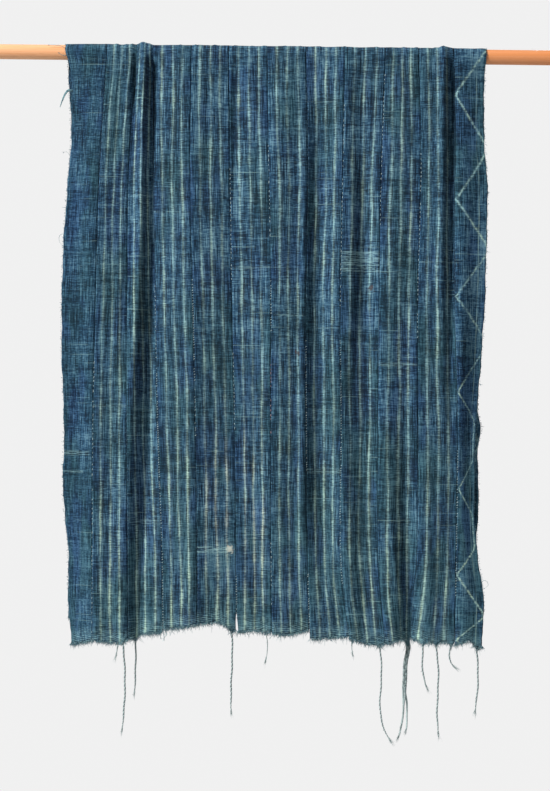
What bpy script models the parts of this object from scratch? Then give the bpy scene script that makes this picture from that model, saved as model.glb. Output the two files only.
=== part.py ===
"""Cotton throw of narrow woven strips, hung doubled over a wooden rod.

Run with: blender --background --python part.py
Metres, +Z up. The origin is the middle of the rod's axis, +X runs along the rod, and the throw's
front half hangs on the -Y side. Tables are in millimetres, and MM turns them into metres.
"""

import math

import bmesh
import bpy
from mathutils import Vector

MM = 0.001

# Rod
ROD_DIAMETER = 25 * MM
ROD_LENGTH = 1000 * MM
ROD_SIDES = 24

# Cloth
CLOTH_THICKNESS = 1.2 * MM
SEAM_GAP = 0.4 * MM
ROD_GAP = 0.6 * MM
BEND_RADIUS = ROD_DIAMETER / 2 + ROD_GAP + CLOTH_THICKNESS / 2
BEND_LENGTH = math.pi * BEND_RADIUS
BEND_STEPS = 8
RIDGE_SHARE_ON_ROD = 0.35
RIDGE_FULL_DROP = 60 * MM

# Steps between the points that give the cloth's slope: in strips across, and along
PLACE_STEP = 0.02
LENGTH_STEP = 0.5 * MM

# Heights of the cross rows, as drops below the rod's axis, down to the last row that all strips share
FRONT_ROWS = (25, 60, 105, 160, 225, 295, 370, 445, 520, 595, 670, 745, 820, 885, 935)
BACK_ROWS = (40, 100, 180, 280, 400, 520, 640, 760, 860, 915)

# Fringe
BACKING_HEIGHT = 4 * MM
BACKING_GAP = 0.3 * MM
BACKING_CELLS = 4
STATION_CLEARANCE = 0.04
THREAD_STEP = 11 * MM
THREAD_TURN = math.radians(24)
BRAID_CELLS = 3
BRAID_LUMP = 0.14
BRAID_DEPTH_SHARE = 0.6
TAIL_SPREAD = 3 * MM

# The front half's two side edges, as x at each drop
FRONT_EDGES = (
    # drop, left, right
    (0, -355, 358),
    (20, -349, 357),
    (65, -345, 356),
    (115, -342, 356),
    (166, -345, 359),
    (233, -350, 364),
    (318, -355, 363),
    (402, -357, 362),
    (520, -356, 356),
    (639, -351, 348),
    (723, -352, 347),
    (791, -348, 348),
    (855, -340, 355),
    (909, -342, 364),
    (994, -336, 363),
)
BACK_EDGES = (
    # drop, left, right
    (0, -355, 358),
    (90, -349, 355),
    (180, -346, 359),
    (400, -352, 357),
    (600, -350, 354),
    (632, -350, 360),
    (665, -350, 354),
    (735, -349, 357),
    (830, -344, 354),
    (930, -343, 352),
)

# The seam at each strip's right side, as x at these drops down the front half. The last strip has none.
SEAM_DROPS = (10, 200, 415, 635, 855, 990)
STRIPS = (
    # name, columns, right seam at SEAM_DROPS, front hem drop at left, middle, right, back hem drop
    ("strip_01", 4, (-284, -294, -298, -300, -299, -298), (1004, 999, 995), 962),
    ("strip_02", 6, (-234, -245, -245, -243, -239, -237), (995, 998, 992), 955),
    ("strip_03", 8, (-206, -204, -198, -191, -181, -178), (992, 983, 980), 958),
    ("strip_04", 6, (-141, -141, -134, -127, -122, -120), (975, 972, 966), 951),
    ("strip_05", 4, (-78, -74, -68, -61, -56, -53), (966, 962, 977), 949),
    ("strip_06", 4, (-13, -8, -2, 0, 3, 6), (979, 975, 978), 956),
    ("strip_07", 4, (53, 58, 57, 60, 65, 70), (980, 982, 973), 953),
    ("strip_08", 4, (118, 117, 115, 119, 121, 136), (989, 987, 984), 960),
    ("strip_09", 4, (187, 182, 181, 181, 184, 195), (985, 996, 995), 957),
    ("strip_10", 6, (244, 249, 246, 249, 249, 241), (995, 989, 987), 950),
    ("strip_11", 8, (303, 306, 309, 316, 316, 315), (987, 992, 992), 954),
    ("strip_12", 6, None, (995, 988, 1001), 963),
)
OPEN_SEAM = 5
OPEN_SEAM_HALF = 1.2 * MM
OPEN_SEAM_REACH = 0.25

# Folds, with their place, half width and height at these drops. A height towards the viewer is positive.
FOLD_DROPS = (60, 330, 640, 950)
FRONT_FOLDS = (
    # name, x, half width, height
    ("left roll", (-225, -228, -242, -243), (7, 10, 13, 14), (10, 8, 6, 5)),
    ("left pleat", (-209, -212, -216, -221), (7, 11, 16, 18), (-14, -15, -14, -13)),
    ("left groove", (-237, -240, -240, -240), (5, 8, 10, 10), (-5, -1, 0, 0)),
    ("left panel crown", (-295, -293, -290, -285), (24, 26, 26, 24), (3, 5, 6, 5)),
    ("fourth strip crown", (-143, -141, -138, -135), (26, 26, 26, 26), (3, 4, 4, 4)),
    ("fifth strip trough", (-72, -71, -69, -66), (14, 20, 26, 30), (-5, -3, -1, -1)),
    ("sixth strip crown", (9, 11, 14, 18), (26, 26, 26, 26), (3, 5, 5, 5)),
    ("centre trough", (70, 73, 76, 110), (18, 18, 20, 20), (-5, -7, -7, -7)),
    ("eighth strip crown", (119, 114, 118, 140), (16, 16, 18, 14), (3, 5, 6, 6)),
    ("ninth strip trough", (149, 153, 160, 180), (14, 18, 18, 18), (-2, -6, -4, -1)),
    ("ninth strip crown", (205, 203, 203, 206), (16, 18, 18, 14), (2, 3, 3, 6)),
    ("gather", (222, 224, 228, 237), (14, 14, 16, 12), (0, 0, -4, -12)),
    ("hem crown", (262, 262, 264, 269), (14, 16, 16, 14), (1, 2, 3, 6)),
    ("right roll", (285, 285, 293, 300), (10, 12, 14, 18), (8, 6, 3, 2)),
    ("right groove", (296, 298, 306, 310), (6, 8, 12, 16), (-14, -8, -2, 0)),
    ("right strip crown", (318, 318, 318, 330), (12, 12, 12, 16), (2, 6, 10, 5)),
)
BACK_FOLDS = (
    # name, x, half width, height
    ("left ridge", (-222, -226, -230, -236), (11, 18, 24, 28), (9, 6, 4, 3)),
    ("right ridge", (290, 286, 280, 274), (11, 18, 24, 28), (9, 6, 4, 3)),
    ("outer left crown", (-300, -304, -308, -312), (24, 26, 28, 30), (2, 3, 5, 5)),
    ("inner left crown", (-92, -96, -100, -104), (30, 32, 36, 38), (4, 6, 6, 5)),
    ("middle crown", (58, 62, 66, 70), (30, 32, 36, 38), (3, 5, 7, 6)),
    ("inner right crown", (186, 188, 190, 194), (24, 28, 32, 34), (2, 4, 5, 6)),
)

# How far the outermost stretch of each half turns in, at the fold drops
EDGE_TURNS = (
    # side, reach, depth of the front half's edge, depth of the back half's edge
    ("left", 42, (-3, -4, -6, -13), (2, 1, 1, 2)),
    ("right", 46, (-5, -12, -20, -4), (2, 3, 5, 3)),
)

# Loose warp ends that hang from the front hem
THREADS = (
    # strip, x at the root, width, length, lean, bow, wave, hook at the tip
    ("strip_02", -254, 2.6, 29, -4, 0, 0, 0),
    ("strip_02", -245, 3.4, 152, 0, 4, 0, -1),
    ("strip_03", -225, 3.2, 98, -1, 1, 0, 0),
    ("strip_05", -62, 3.4, 142, 1, 0, 1, 0),
    ("strip_06", -5, 1.8, 52, 0, 4, 0, -1),
    ("strip_09", 140, 1.8, 29, 3, 0, 0, 0),
    ("strip_09", 188, 3.0, 166, -3, 2, 3, 27),
    ("strip_11", 261, 3.2, 80, 0, -1, 0, 11),
    ("strip_11", 283, 3.2, 158, 4, 2, 2, 3),
    ("strip_11", 309, 3.0, 46, -3, -2, 0, 20),
    ("strip_12", 352, 3.2, 115, -2, 4, 0, 0),
)
BRAID_ROOT = ("strip_10", 238, 8.4, 68, -6, -2, 0, 0)
BRAID_TAILS = (
    # length, lean, bow, hook
    (76, -3, 0, -2),
    (94, -4, 3, -6),
    (82, 1, 3, -2),
)


def clear_scene():
    for thing in list(bpy.data.objects):
        bpy.data.objects.remove(thing)


def material(name, colour, roughness, metallic=0.0):
    made = bpy.data.materials.new(name)
    made.use_nodes = True
    shader = made.node_tree.nodes["Principled BSDF"]
    shader.inputs["Base Color"].default_value = (*colour, 1.0)
    shader.inputs["Roughness"].default_value = roughness
    shader.inputs["Metallic"].default_value = metallic
    return made


def add_object(name, bm, finish):
    bmesh.ops.recalc_face_normals(bm, faces=bm.faces)
    mesh = bpy.data.meshes.new(name)
    bm.to_mesh(mesh)
    bm.free()
    mesh.materials.append(finish)
    thing = bpy.data.objects.new(name, mesh)
    bpy.context.scene.collection.objects.link(thing)
    return thing


def smoothstep(value):
    value = min(max(value, 0.0), 1.0)
    return value * value * (3 - 2 * value)


def curve(places, values, at):
    """A smooth line through the values, level with the first and last of them outside their places."""
    if at <= places[0]:
        return values[0]
    if at >= places[-1]:
        return values[-1]
    last = len(places) - 1
    i = max(k for k in range(last) if places[k] <= at)

    def slope(k):
        low, high = max(k - 1, 0), min(k + 1, last)
        return (values[high] - values[low]) / (places[high] - places[low])

    span = places[i + 1] - places[i]
    t = (at - places[i]) / span
    return (
        (2 * t**3 - 3 * t**2 + 1) * values[i]
        + (t**3 - 2 * t**2 + t) * span * slope(i)
        + (3 * t**2 - 2 * t**3) * values[i + 1]
        + (t**3 - t**2) * span * slope(i + 1)
    )


def edge_x(edges, side, drop):
    return curve([row[0] for row in edges], [row[side] for row in edges], drop)


def side_x(number, drop, front):
    """x in millimetres of a seam, counted from the left edge, or of one of the two edges themselves."""
    edges = FRONT_EDGES if front else BACK_EDGES
    left, right = edge_x(edges, 1, drop), edge_x(edges, 2, drop)
    if number == 0:
        return left
    if number == len(STRIPS):
        return right
    seams = STRIPS[number - 1][2]
    if front:
        return curve(SEAM_DROPS, seams, drop)
    share = smoothstep(drop / BACK_ROWS[-1])
    even = left + (right - left) * number / len(STRIPS)
    return seams[0] * (1 - share) + even * share


def across(place, drop, front):
    """x in millimetres of a place counted in strips from the left edge, at this drop."""
    whole = min(int(place), len(STRIPS) - 1)
    left, right = side_x(whole, drop, front), side_x(whole + 1, drop, front)
    return left + (right - left) * (place - whole)


def ridge(x, drop, front, only_ridges=False):
    """How far the folds stand off the hanging plane, in millimetres."""
    total = 0.0
    for _, places, half_widths, heights in FRONT_FOLDS if front else BACK_FOLDS:
        height = curve(FOLD_DROPS, heights, drop)
        if only_ridges:
            height = max(height, 0.0)
        offset = (x - curve(FOLD_DROPS, places, drop)) / curve(FOLD_DROPS, half_widths, drop)
        total += height * math.exp(-offset * offset)
    if only_ridges:
        return total
    edges = FRONT_EDGES if front else BACK_EDGES
    for side, reach, front_depths, back_depths in EDGE_TURNS:
        edge = edge_x(edges, 1 if side == "left" else 2, drop)
        depth = curve(FOLD_DROPS, front_depths if front else back_depths, drop)
        total += depth * smoothstep(1 - abs(x - edge) / reach) if abs(x - edge) < reach else 0.0
    return total


def stand_off(x, drop, front):
    """How far the cloth's middle stands out from its place against the rod, in metres."""
    on_rod = RIDGE_SHARE_ON_ROD * ridge(x, 0, front, only_ridges=True)
    share = smoothstep(drop * MM / RIDGE_FULL_DROP)
    hanging = ridge(x, drop, front) if share > 0 else 0.0
    return (on_rod * (1 - share) + hanging * share) * MM


def drape(place, along):
    """The cloth's middle at a place across, at a length along it from the top of the rod.

    Lengths are negative down the front half and positive down the back half.
    """
    front = along < 0
    drop = (abs(along) - BEND_LENGTH / 2) / MM
    if drop <= 0:
        turn = (along / BEND_LENGTH + 0.5) * math.pi
        x = across(place, 0, front)
        back_share = turn / math.pi
        lift = stand_off(x, 0, True) * (1 - back_share) + stand_off(x, 0, False) * back_share
        radius = BEND_RADIUS + lift
        return Vector((x * MM, -radius * math.cos(turn), radius * math.sin(turn)))
    shaped = min(drop, FRONT_ROWS[-1] if front else BACK_ROWS[-1])
    x = across(place, shaped, front)
    out = BEND_RADIUS + stand_off(x, shaped, front)
    return Vector((x * MM, -out if front else out, -drop * MM))


def drape_frame(place, along):
    """The cloth's middle, its direction across and its outward normal."""
    low, high = max(place - PLACE_STEP, 0.0), min(place + PLACE_STEP, float(len(STRIPS)))
    sideways = (drape(high, along) - drape(low, along)).normalized()
    lengthways = drape(place, along + LENGTH_STEP) - drape(place, along - LENGTH_STEP)
    return drape(place, along), sideways, sideways.cross(lengthways).normalized()


def front_hem(index, u):
    """The front hem's drop in millimetres, at a share u of the strip's width."""
    left, middle, right = STRIPS[index][3]
    if u < 0.5:
        return left + (middle - left) * 2 * u
    return middle + (right - middle) * (2 * u - 1)


def carries_fringe(name):
    return name == BRAID_ROOT[0] or any(row[0] == name for row in THREADS)


def seam_inset(index, u, at_hem):
    """How far a point moves in from its strip's side: half the seam's gap, and more where a seam hangs open."""
    inset = SEAM_GAP / 2 * ((u == 0) - (u == 1))
    if at_hem and index + 1 == OPEN_SEAM:
        inset -= OPEN_SEAM_HALF * max(0.0, 1 - (1 - u) / OPEN_SEAM_REACH)
    if at_hem and index == OPEN_SEAM:
        inset += OPEN_SEAM_HALF * max(0.0, 1 - u / OPEN_SEAM_REACH)
    return inset


def strip_rows(index, u):
    """Lengths along the cloth of the strip's cross rows, from the front hem to the back hem."""
    name, back_hem = STRIPS[index][0], STRIPS[index][4]
    trim = (BACKING_HEIGHT + BACKING_GAP) / MM if carries_fringe(name) else 0.0
    half = BEND_LENGTH / 2
    rows = [-(half + (front_hem(index, u) - trim) * MM)]
    rows += [-(half + drop * MM) for drop in reversed(FRONT_ROWS)]
    rows += [BEND_LENGTH * (step / BEND_STEPS - 0.5) for step in range(BEND_STEPS + 1)]
    rows += [half + drop * MM for drop in BACK_ROWS]
    rows.append(half + back_hem * MM)
    return rows


def build_strip(index, finish):
    """One woven strip, a closed sheet that follows the drape from hem to hem."""
    name, columns = STRIPS[index][:2]
    bm = bmesh.new()
    outer, inner = [], []
    for column in range(columns + 1):
        u = column / columns
        outer.append([])
        inner.append([])
        for row, along in enumerate(strip_rows(index, u)):
            middle, sideways, normal = drape_frame(index + u, along)
            middle = middle + sideways * seam_inset(index, u, at_hem=row == 0)
            outer[-1].append(bm.verts.new(middle + normal * CLOTH_THICKNESS / 2))
            inner[-1].append(bm.verts.new(middle - normal * CLOTH_THICKNESS / 2))
    last = len(outer[0]) - 1

    def patch(a, b, c, d):
        bm.faces.new((a, b, c))
        bm.faces.new((a, c, d))

    for column in range(columns):
        for row in range(last):
            for sheet in (outer, inner):
                patch(
                    sheet[column][row],
                    sheet[column + 1][row],
                    sheet[column + 1][row + 1],
                    sheet[column][row + 1],
                )
        for row in (0, last):
            patch(outer[column][row], outer[column + 1][row], inner[column + 1][row], inner[column][row])
    for column in (0, columns):
        for row in range(last):
            patch(outer[column][row], outer[column][row + 1], inner[column][row + 1], inner[column][row])
    return add_object(name, bm, finish)


def thread_path(root, length, lean, bow, wave, hook):
    """Points down a hanging thread, a step apart, from just below its root."""
    steps = max(3, round(length / THREAD_STEP))
    points = []
    for step in range(1, steps + 1):
        t = step / steps
        side = lean * t + bow * math.sin(math.pi * t) + wave * math.sin(2 * math.pi * t) + hook * t**4
        points.append(root + Vector((side, 0, -length * t)))
    return points


def grow(bm, fronts, backs, points, width, depth, turn, lump=0.0):
    """Extrudes a thread from its root corners along the points, and returns its last ring's corners."""
    cells = len(fronts) - 1
    for number, point in enumerate(points, start=1):
        angle = turn * number
        swell = 1 + lump * (1 if number % 2 else -1)
        ring = []
        for side in (-1, 1):
            corners = []
            for cell in range(cells + 1):
                x = width * swell * (cell / cells - 0.5)
                y = side * depth / 2
                offset = Vector(
                    (x * math.cos(angle) - y * math.sin(angle), x * math.sin(angle) + y * math.cos(angle), 0)
                )
                corners.append(bm.verts.new(point + offset))
            ring.append(corners)
        new_fronts, new_backs = ring
        for cell in range(cells):
            bm.faces.new((fronts[cell], fronts[cell + 1], new_fronts[cell + 1], new_fronts[cell]))
            bm.faces.new((backs[cell + 1], backs[cell], new_backs[cell], new_backs[cell + 1]))
        for end in (0, cells):
            bm.faces.new((fronts[end], backs[end], new_backs[end], new_fronts[end]))
        fronts, backs = new_fronts, new_backs
    return fronts, backs


def close_end(bm, fronts, backs):
    for cell in range(len(fronts) - 1):
        bm.faces.new((fronts[cell], fronts[cell + 1], backs[cell + 1], backs[cell]))


def place_of(index, x):
    """The share of the strip's width at which the hem lies at this x, in metres."""
    left = across(index, FRONT_ROWS[-1], True) * MM
    right = across(index + 1, FRONT_ROWS[-1], True) * MM
    return (x - left) / (right - left), right - left


def build_fringe(index, finish):
    """The narrow frayed end of one strip with its hanging threads, one closed body."""
    name = STRIPS[index][0]
    roots = [row for row in (*THREADS, BRAID_ROOT) if row[0] == name]
    roots.sort(key=lambda row: row[1])
    spans = []
    for row in roots:
        middle, width = place_of(index, row[1] * MM)
        cells = BRAID_CELLS if row is BRAID_ROOT else 1
        half = row[2] * MM / width / 2
        spans.append((row, [middle + half * (2 * k / cells - 1) for k in range(cells + 1)]))
    rooted = [u for _, shares in spans for u in shares]
    even = [k / BACKING_CELLS for k in range(BACKING_CELLS + 1)]
    stations = sorted(rooted + [u for u in even if all(abs(u - r) > STATION_CLEARANCE for r in rooted)])
    bm = bmesh.new()
    corners = []
    for u in stations:
        inset = seam_inset(index, u, at_hem=True)
        hem = front_hem(index, u) * MM
        column = []
        for drop in (hem - BACKING_HEIGHT, hem):
            middle, sideways, normal = drape_frame(index + u, -(BEND_LENGTH / 2 + drop))
            middle = middle + sideways * inset
            column.append(bm.verts.new(middle + normal * CLOTH_THICKNESS / 2))
            column.append(bm.verts.new(middle - normal * CLOTH_THICKNESS / 2))
        corners.append(column)
    threaded = {stations.index(u) for _, shares in spans for u in shares[:-1]}
    for i in range(len(stations) - 1):
        top_front, top_back, low_front, low_back = corners[i]
        next_top_front, next_top_back, next_low_front, next_low_back = corners[i + 1]
        bm.faces.new((top_front, next_top_front, next_low_front, low_front))
        bm.faces.new((next_top_back, top_back, low_back, next_low_back))
        bm.faces.new((top_front, top_back, next_top_back, next_top_front))
        if i not in threaded:
            bm.faces.new((low_front, next_low_front, next_low_back, low_back))
    for column in (corners[0], corners[-1]):
        bm.faces.new((column[0], column[1], column[3], column[2]))
    for row, shares in spans:
        _, _, width, length, lean, bow, wave, hook = row
        at = [corners[stations.index(u)] for u in shares]
        fronts, backs = [c[2] for c in at], [c[3] for c in at]
        root = sum((v.co for v in fronts + backs), Vector()) / (2 * len(at))
        shape = [value * MM for value in (length, lean, bow, wave, hook)]
        path = thread_path(root, *shape)
        if row is not BRAID_ROOT:
            close_end(bm, *grow(bm, fronts, backs, path, width * MM, width * MM, THREAD_TURN))
            continue
        depth = width * MM * BRAID_DEPTH_SHARE
        fronts, backs = grow(bm, fronts, backs, path, width * MM, depth, 0.0, BRAID_LUMP)
        for cell, (tail, tail_lean, tail_bow, tail_hook) in enumerate(BRAID_TAILS):
            ends = fronts[cell : cell + 2], backs[cell : cell + 2]
            start = sum((v.co for pair in ends for v in pair), Vector()) / 4
            spread = (cell - 1) * TAIL_SPREAD
            tail_path = [
                point + Vector((spread * smoothstep(2 * k / len(path)), 0, 0))
                for k, point in enumerate(
                    thread_path(start, tail * MM, tail_lean * MM, tail_bow * MM, 0, tail_hook * MM), start=1
                )
            ]
            size = width * MM / BRAID_CELLS
            close_end(bm, *grow(bm, *ends, tail_path, size, size, 0.0))
    return add_object(name.replace("strip", "fringe"), bm, finish)


def build_rod(finish):
    bm = bmesh.new()
    bmesh.ops.create_cone(
        bm,
        cap_ends=True,
        segments=ROD_SIDES,
        radius1=ROD_DIAMETER / 2,
        radius2=ROD_DIAMETER / 2,
        depth=ROD_LENGTH,
    )
    rod = add_object("rod", bm, finish)
    rod.rotation_euler = (0, math.radians(90), 0)
    rod.data.shade_smooth()
    rod.data.set_sharp_from_angle(angle=math.radians(40))
    return rod


def main():
    clear_scene()
    wood = material("pale wood", (0.62, 0.36, 0.18), 0.5)
    cotton = material("indigo cotton", (0.035, 0.085, 0.15), 0.9)
    yarn = material("indigo yarn", (0.08, 0.17, 0.24), 0.9)
    build_rod(wood)
    for index, row in enumerate(STRIPS):
        build_strip(index, cotton)
        if carries_fringe(row[0]):
            build_fringe(index, yarn)


main()
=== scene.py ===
"""Looks of a cotton throw of narrow woven strips, hung doubled over a wooden rod.

Metres, +Z up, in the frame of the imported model: the origin is the middle of the rod's axis, +X runs
along the rod and the front half hangs on the -Y side. Tables and bare lengths are in millimetres, and
MM turns them into metres. A drop is a depth below the rod's axis. A place is counted in strips from
the left edge.
"""

import math

import bmesh
import bpy
import numpy as np
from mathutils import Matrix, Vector


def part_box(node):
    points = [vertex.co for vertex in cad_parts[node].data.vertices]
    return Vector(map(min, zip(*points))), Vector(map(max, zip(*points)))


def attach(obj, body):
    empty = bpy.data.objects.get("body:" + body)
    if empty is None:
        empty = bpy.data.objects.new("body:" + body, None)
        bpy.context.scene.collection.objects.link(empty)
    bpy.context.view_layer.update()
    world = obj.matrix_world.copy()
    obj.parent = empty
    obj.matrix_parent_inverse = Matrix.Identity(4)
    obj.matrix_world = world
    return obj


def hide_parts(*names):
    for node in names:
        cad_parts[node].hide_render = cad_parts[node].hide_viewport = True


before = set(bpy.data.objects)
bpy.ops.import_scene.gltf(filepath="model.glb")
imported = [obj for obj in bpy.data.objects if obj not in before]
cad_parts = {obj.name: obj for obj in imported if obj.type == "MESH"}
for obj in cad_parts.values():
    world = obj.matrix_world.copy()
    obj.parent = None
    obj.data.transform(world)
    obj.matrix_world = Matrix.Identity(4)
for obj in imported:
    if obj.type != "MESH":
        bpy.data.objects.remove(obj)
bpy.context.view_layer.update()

MM = 0.001

# Rod
ROD_RADIUS = 12.5 * MM
ROD_SIDES = 64
ROD_PARTS = 40
ROD_EDGE = 1.2 * MM
ROD_EDGE_SHARE = 0.3
ROD_SHARP_ANGLE = math.radians(35)

# The drape, as the solids have it
BEND_RADIUS = 13.7 * MM
BEND_LENGTH = math.pi * BEND_RADIUS
RIDGE_SHARE_ON_ROD = 0.35
RIDGE_FULL_DROP = 28
FRONT_STRAIGHT_DROP = 1010
BACK_STRAIGHT_DROP = 915
FRONT_EDGES = (
    # drop, left, right
    (0, -355, 358),
    (20, -349, 357),
    (65, -345, 356),
    (115, -342, 356),
    (166, -345, 359),
    (233, -350, 364),
    (318, -355, 363),
    (402, -357, 362),
    (520, -356, 356),
    (639, -351, 348),
    (723, -352, 347),
    (791, -348, 348),
    (855, -340, 355),
    (909, -342, 364),
    (994, -336, 363),
)
BACK_EDGES = (
    # drop, left, right
    (0, -355, 358),
    (90, -349, 355),
    (180, -346, 359),
    (400, -352, 357),
    (600, -350, 354),
    (632, -350, 360),
    (665, -350, 354),
    (735, -349, 357),
    (830, -344, 354),
    (930, -343, 352),
)
SEAM_DROPS = (10, 200, 415, 635, 855, 990)
STRIPS = (
    # name, right seam at SEAM_DROPS, front hem drop at left, middle, right, back hem drop
    ("01", (-284, -294, -298, -300, -299, -298), (1004, 999, 995), 962),
    ("02", (-234, -245, -245, -243, -239, -237), (995, 998, 992), 955),
    ("03", (-206, -204, -198, -191, -181, -178), (992, 983, 980), 958),
    ("04", (-141, -141, -134, -127, -122, -120), (975, 972, 966), 951),
    ("05", (-78, -74, -68, -61, -56, -53), (966, 962, 977), 949),
    ("06", (-13, -8, -2, 0, 3, 6), (979, 975, 978), 956),
    ("07", (53, 58, 57, 60, 65, 70), (980, 982, 973), 953),
    ("08", (118, 117, 115, 119, 121, 136), (989, 987, 984), 960),
    ("09", (187, 182, 181, 181, 184, 195), (985, 996, 995), 957),
    ("10", (244, 249, 246, 249, 249, 241), (995, 989, 987), 950),
    ("11", (303, 306, 309, 316, 316, 315), (987, 992, 992), 954),
    ("12", None, (995, 988, 1001), 963),
)
OPEN_SEAM = 5
OPEN_SEAM_HALF = 1.9
OPEN_SEAM_HEIGHT = 36
OPEN_SEAM_SHARE = 0.25
FOLD_DROPS = (60, 330, 640, 950)
FRONT_FOLDS = (
    # name, x, half width, height towards the viewer, each at the fold drops
    ("left roll", (-220, -223, -238, -242), (7, 10, 13, 14), (12, 9, 8, 7)),
    ("left pleat", (-209, -212, -216, -221), (7, 11, 16, 18), (-4, -4, -8, -11)),
    ("left groove", (-237, -240, -240, -240), (5, 8, 10, 10), (-5, -1, 0, 0)),
    ("left panel crown", (-295, -293, -290, -285), (24, 26, 26, 24), (3, 5, 6, 5)),
    ("fourth strip crown", (-143, -141, -138, -135), (26, 26, 26, 26), (3, 4, 4, 4)),
    ("fifth strip trough", (-72, -71, -69, -66), (14, 20, 26, 30), (-5, -3, -1, -1)),
    ("sixth strip crown", (9, 11, 14, 18), (26, 26, 26, 26), (3, 5, 5, 5)),
    ("centre trough", (70, 73, 76, 110), (18, 18, 20, 20), (-5, -7, -7, -7)),
    ("eighth strip crown", (119, 114, 118, 140), (16, 16, 18, 14), (3, 5, 6, 6)),
    ("ninth strip trough", (149, 153, 160, 180), (14, 18, 18, 18), (-2, -6, -4, -1)),
    ("ninth strip crown", (205, 203, 203, 206), (16, 18, 18, 14), (2, 3, 3, 6)),
    ("gather", (222, 224, 228, 237), (14, 14, 16, 12), (0, 0, -4, -15)),
    ("hem crown", (262, 262, 264, 269), (14, 16, 16, 14), (1, 2, 3, 6)),
    ("right roll", (285, 285, 293, 300), (9, 11, 14, 18), (10, 8, 4, 2)),
    ("right groove", (297, 299, 306, 310), (6, 8, 12, 16), (-16, -10, -4, -1)),
    ("right strip crown", (320, 320, 320, 330), (14, 14, 14, 16), (1, 3, 5, 4)),
)
BACK_FOLDS = (
    # name, x, half width, height
    ("left ridge", (-222, -226, -230, -236), (11, 18, 24, 28), (9, 6, 4, 3)),
    ("right ridge", (290, 286, 280, 274), (11, 18, 24, 28), (9, 6, 4, 3)),
    ("outer left crown", (-300, -304, -308, -312), (24, 26, 28, 30), (2, 3, 5, 5)),
    ("inner left crown", (-92, -96, -100, -104), (30, 32, 36, 38), (4, 6, 6, 5)),
    ("middle crown", (58, 62, 66, 70), (30, 32, 36, 38), (3, 5, 7, 6)),
    ("inner right crown", (186, 188, 190, 194), (24, 28, 32, 34), (2, 4, 5, 6)),
)
EDGE_TURNS = (
    # side, reach, depth of the front half's edge, depth of the back half's edge
    ("left", 42, (-3, -4, -6, -13), (2, 1, 1, 2)),
    ("right", 46, (-5, -8, -12, -3), (2, 3, 5, 3)),
)

# Cloth
SHEET_THICKNESS = 0.8 * MM
SEAM_GAP = 0.08 * MM
FLAT_STRIP_WIDTH = 65.5 * MM
HEM_POINT = 1.7
HEM_POINT_REACH = 4.5
UV_START = 1.2
UV_TOP = (UV_START - BEND_LENGTH / 2) / MM
SIDE_RAGGED = 1.0 * MM
SIDE_REACH = 0.2
RAGGED_WAVES = (
    # radians a metre, phase, size
    (61, 0, 1.0),
    (143, 2, 0.7),
    (390, 4, 0.5),
)
JAG_FRONT, JAG_BACK = 1.1, 0.9
COLUMNS = 20
ROW_STEP = 5 * MM
PUCKER_PITCH = 9
GATHER_X, GATHER_REACH, GATHER_PULL = 239, 30, 0.42
GATHER_TOP, GATHER_FOOT = 840, 1000
PUCKER_REACH = 5
PUCKER_DEPTH, PUCKER_SWING = 0.28, 0.22
RUFFLE, FINE_RUFFLE = 0.7, 0.22
ROD_RUFFLE = 0.25
CREASE_FADE, TURN_FADE = 0.25, 0.2

# Small ridges where the gathered cloth runs over the rod
ROD_RIDGES = (
    # x, half width, height
    (-268, 3, 1.3),
    (-251, 3, 1.0),
    (-242, 3, 1.6),
    (-226, 5, 2.4),
    (-212, 3, 1.2),
    (-160, 2, 0.9),
    (-134, 2, 1.2),
    (-127, 2, 0.8),
    (-102, 3, 1.2),
    (-67, 2, 1.1),
    (-38, 2, 0.8),
    (-18, 3, 0.9),
    (16, 2, 0.7),
    (42, 2, 0.8),
    (75, 2, 0.7),
    (118, 2, 0.9),
    (172, 3, 0.8),
    (218, 3, 1.0),
    (240, 3, 1.4),
    (272, 3, 1.2),
    (284, 3, 1.6),
)

# Narrow creases of the front half, softer and shorter than the folds
CREASES = (
    # x at the top, x at the foot, drop at the top, drop at the foot, half width, height
    (-235, -240, -40, 95, 2.6, -10.0),
    (-262, -268, 15, 210, 3.5, -1.2),
    (-131, -133, -20, 60, 2.5, -1.6),
    (-122, -124, -20, 50, 2.5, 1.2),
    (-99, -101, -20, 70, 2.5, -1.4),
    (-64, -65, -20, 60, 2.5, -1.3),
    (-35, -36, -20, 45, 2.5, -1.1),
    (20, 20, -20, 50, 2.5, -1.0),
    (46, 47, -20, 40, 2.5, -1.0),
    (122, 122, -20, 60, 2.5, -1.2),
    (176, 176, -20, 60, 3.0, -1.2),
    (222, 223, -20, 70, 3.0, -1.4),
    (244, 245, -20, 60, 2.5, -1.5),
    (274, 276, -20, 70, 2.5, -1.3),
    (-246, -256, 15, 190, 3.0, 1.4),
    (-196, -199, 10, 420, 4.0, 1.6),
    (-110, -116, 10, 260, 5.0, -1.2),
    (-14, -8, 10, 560, 4.0, -1.2),
    (52, 58, 60, 900, 5.0, 1.2),
    (88, 92, 120, 700, 5.0, 1.3),
    (178, 176, 60, 420, 4.5, 1.2),
    (238, 246, 40, 500, 4.0, -1.0),
    (276, 280, 10, 330, 3.5, -1.2),
    (196, 226, 700, 985, 5.0, 1.6),
    (262, 244, 640, 985, 4.5, 1.6),
    (-180, -172, 600, 965, 5.0, -1.3),
    (-30, -24, 500, 970, 5.0, -1.2),
    (150, 162, 640, 985, 5.0, -1.4),
)

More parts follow.
